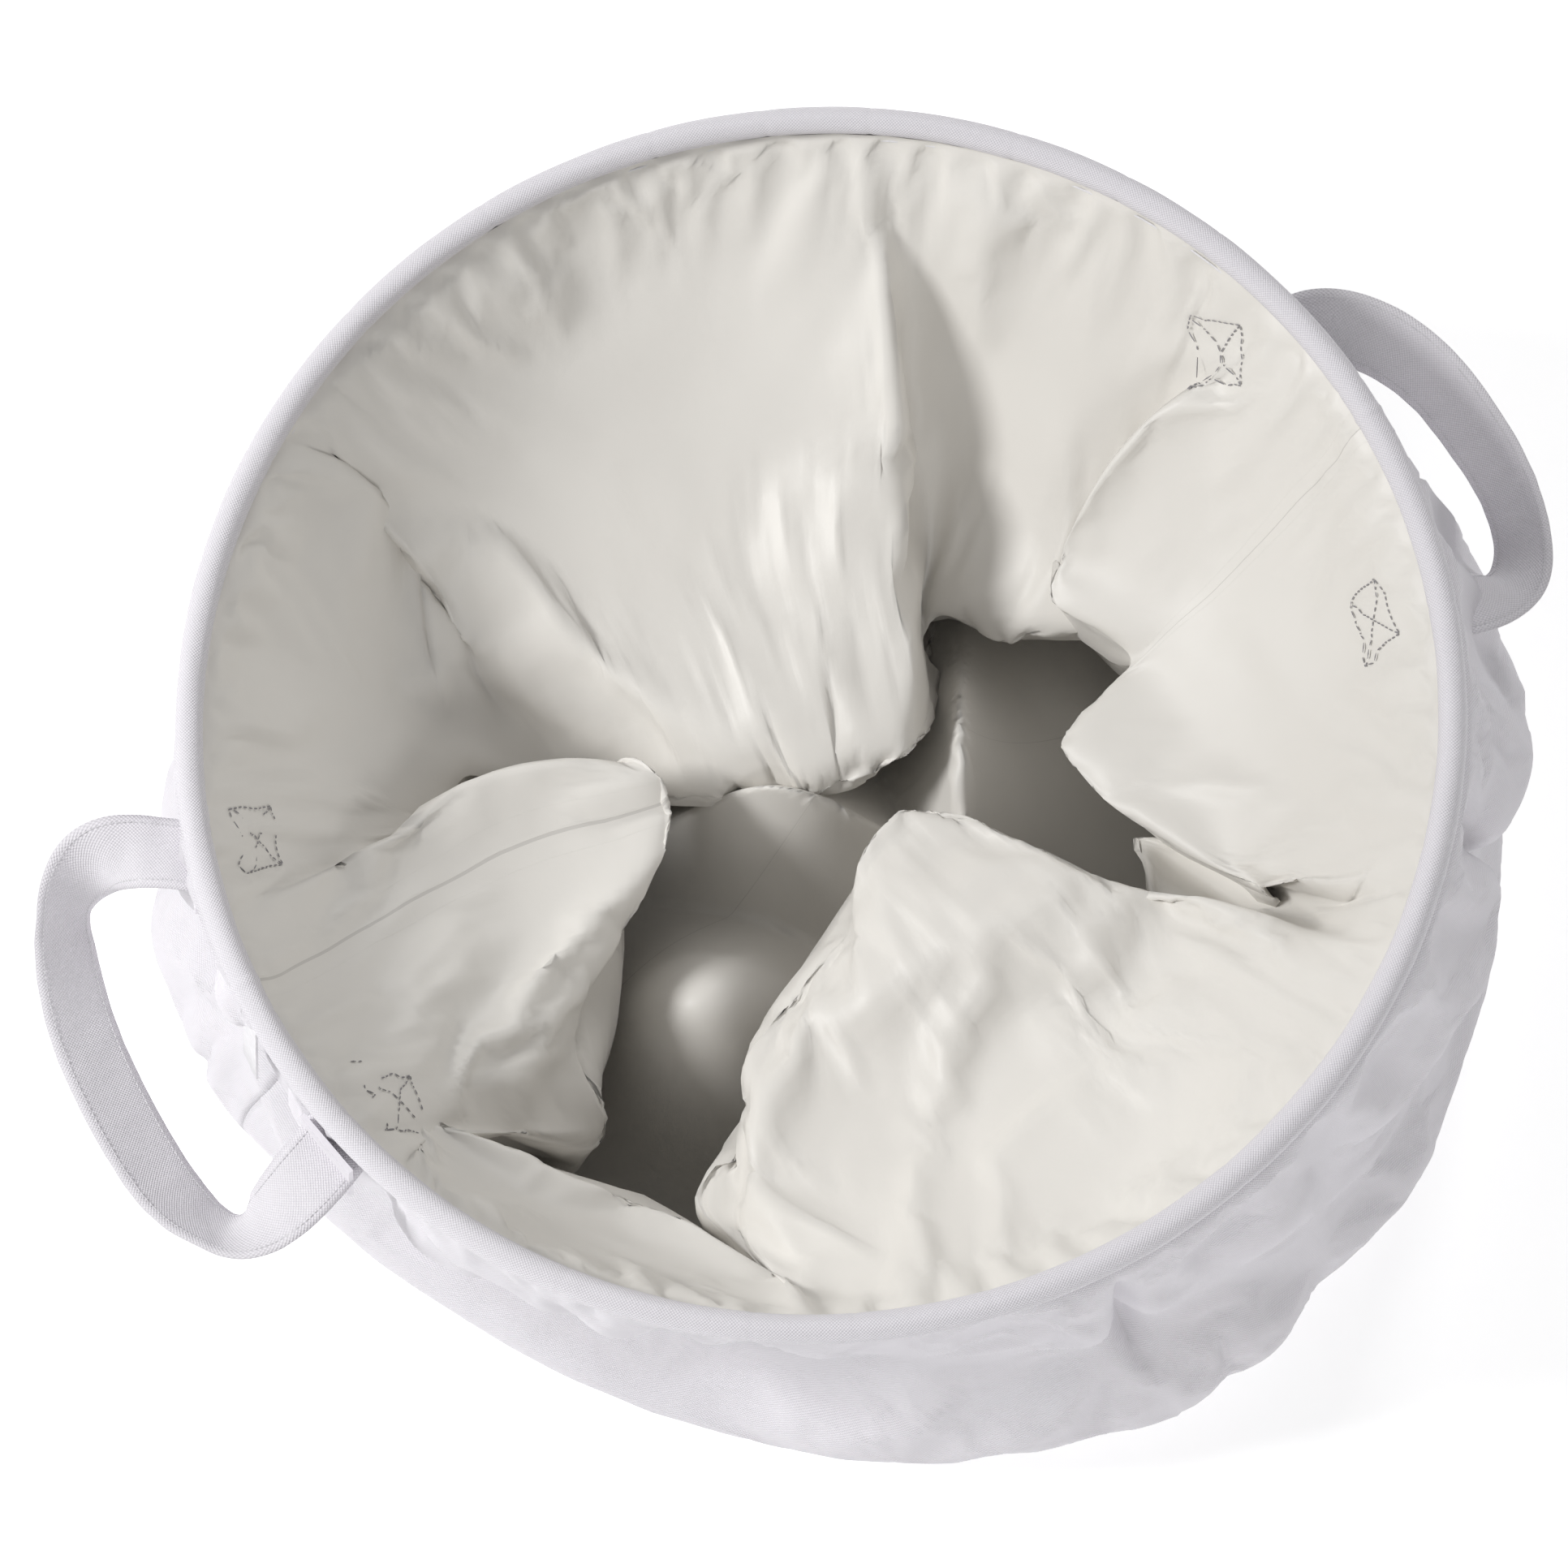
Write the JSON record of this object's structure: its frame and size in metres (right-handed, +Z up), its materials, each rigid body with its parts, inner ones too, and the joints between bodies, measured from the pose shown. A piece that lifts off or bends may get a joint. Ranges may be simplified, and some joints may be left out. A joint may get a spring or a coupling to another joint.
{
  "type": "laundry bag",
  "caption": "Round soft laundry bag with a spring-wire rim, an oxford-weave shell, a coated lining and strap handles, standing half collapsed.",
  "frame": {"origin": "on the floor, under the middle of the base", "axes": "+Z up, +X through the right handle along the line of the side seams, +Y to the back"},
  "size_m": [0.5139, 0.4352, 0.2044],
  "materials": {
    "shell_fabric": "basket-weave oxford, pale warm grey",
    "strap_fabric": "folded basket-weave oxford, pale warm grey",
    "lining_fabric": "fine plain weave with a soft coating, ivory",
    "binding_tape": "ribbed binding tape",
    "thread": "twisted polyester thread",
    "spring_wire": "drawn spring steel"
  },
  "bodies": {
    "base": {"outer_base": "shell_fabric", "base_seam_tape": "binding_tape", "lining_base": "lining_fabric"},
    "rim": {"hoop_wire": "spring_wire", "hoop_ferrule": "spring_wire", "rim_sleeve_back": "shell_fabric", "rim_sleeve_front": "shell_fabric", "rim_stitching": "thread", "outer_wall_back": "shell_fabric", "outer_wall_front": "shell_fabric", "lining_back": "lining_fabric", "lining_front": "lining_fabric", "side_seam_tape_left": "binding_tape", "side_seam_tape_right": "binding_tape", "handle_left_tab_back": "strap_fabric", "handle_left_tab_front": "strap_fabric", "handle_right_tab_back": "strap_fabric", "handle_right_tab_front": "strap_fabric", "box_stitch_left_back": "thread", "box_stitch_left_front": "thread", "box_stitch_right_back": "thread", "box_stitch_right_front": "thread"},
    "handle_left": {"handle_left_strap": "strap_fabric", "handle_left_stitching": "thread"},
    "handle_right": {"handle_right_strap": "strap_fabric", "handle_right_stitching": "thread"}
  },
  "joints": [
    {"name": "rim_lift", "type": "slide", "parent": "base", "child": "rim", "axis": [0, 0, 1], "range_m": [0, 0.12], "deforming": ["outer_wall_back", "outer_wall_front", "lining_back", "lining_front"]},
    {"name": "handle_left_swing", "type": "hinge", "parent": "rim", "child": "handle_left", "pos_m": [-0.1995, 0, 0.178], "axis": [0, 1, 0], "range_deg": [-56, 102]},
    {"name": "handle_right_swing", "type": "hinge", "parent": "rim", "child": "handle_right", "pos_m": [0.1995, 0, 0.178], "axis": [0, -1, 0], "range_deg": [-46, 112]}
  ]
}
